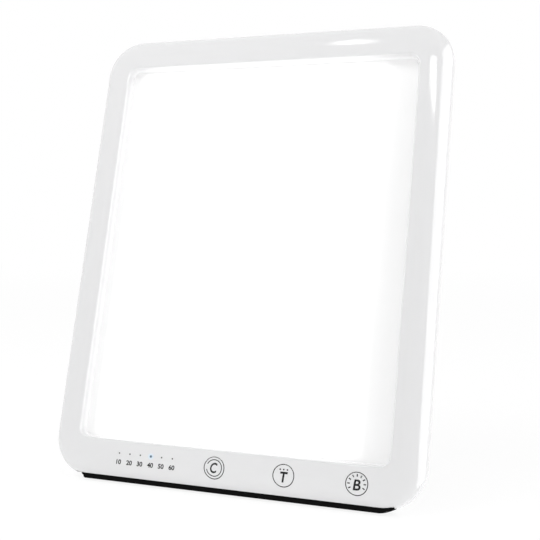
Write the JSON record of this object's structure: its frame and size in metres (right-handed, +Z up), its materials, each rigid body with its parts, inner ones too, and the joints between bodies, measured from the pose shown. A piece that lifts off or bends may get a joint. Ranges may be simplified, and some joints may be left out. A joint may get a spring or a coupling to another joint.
{
  "type": "light therapy lamp",
  "caption": "Tablet-shaped light therapy lamp: a glowing panel in a glossy white case with touch keys, leaning back on a fold-out leg.",
  "frame": {"origin": "middle of the lamp's footprint, on the table that it stands on", "axes": "+Z up, +X to the right as seen from the front, -Y towards the person in front of the panel; the face leans back by 16.7 degrees"},
  "size_m": [0.19, 0.087, 0.2259],
  "materials": {
    "white_case": "glossy white moulded ABS",
    "opal_panel": "opal acrylic, lit from behind",
    "white_foam": "white closed-cell foam",
    "clear_acrylic": "polished clear acrylic",
    "white_film": "white reflector film",
    "bare_aluminium": "bare sheet aluminium",
    "white_board": "white solder mask",
    "led_phosphor": "phosphor-filled LED package",
    "green_board": "green circuit board",
    "brass_metal": "turned brass",
    "zinc_steel": "zinc-plated steel",
    "dark_ferrite": "ferrite",
    "black_plastic": "moulded black plastic",
    "cream_plastic": "cream connector plastic",
    "plated_steel": "bright plated steel",
    "black_rubber": "soft black rubber",
    "nylon": "natural nylon",
    "lead_sheath": "grey PVC sheath of a two-core lead"
  },
  "bodies": {
    "lamp": {"front_bezel": "white_case", "rear_cover": "white_case", "foam_gasket": "white_foam", "diffuser_panel": "opal_panel", "light_guide": "clear_acrylic", "reflector_sheet": "white_film", "backing_tray": "bare_aluminium", "led_strip_left": "white_board", "led_strip_right": "white_board", "led_chips_left": "led_phosphor", "led_chips_right": "led_phosphor", "main_board": "green_board", "board_spacers": "brass_metal", "board_screws": "zinc_steel", "power_inductor": "dark_ferrite", "capacitors": "bare_aluminium", "control_chips": "black_plastic", "board_connectors": "cream_plastic", "power_socket": "black_plastic", "power_socket_pin": "plated_steel", "touch_board": "green_board", "touch_pads": "white_foam", "timer_light_pipe": "clear_acrylic", "timer_leds": "led_phosphor", "case_screws": "zinc_steel", "rubber_strip": "black_rubber", "hinge_pin": "plated_steel", "hinge_washers": "nylon", "board_ribbon": "white_film", "led_leads": "lead_sheath", "touch_board_screws": "zinc_steel"},
    "leg": {"stand_leg": "white_case", "leg_foot": "black_rubber"}
  },
  "joints": [
    {"name": "leg_fold", "type": "hinge", "parent": "lamp", "child": "leg", "pos_m": [0, 0.00887, 0.12273], "axis": [1, 0, 0], "range_deg": [-31.08, 0]}
  ]
}
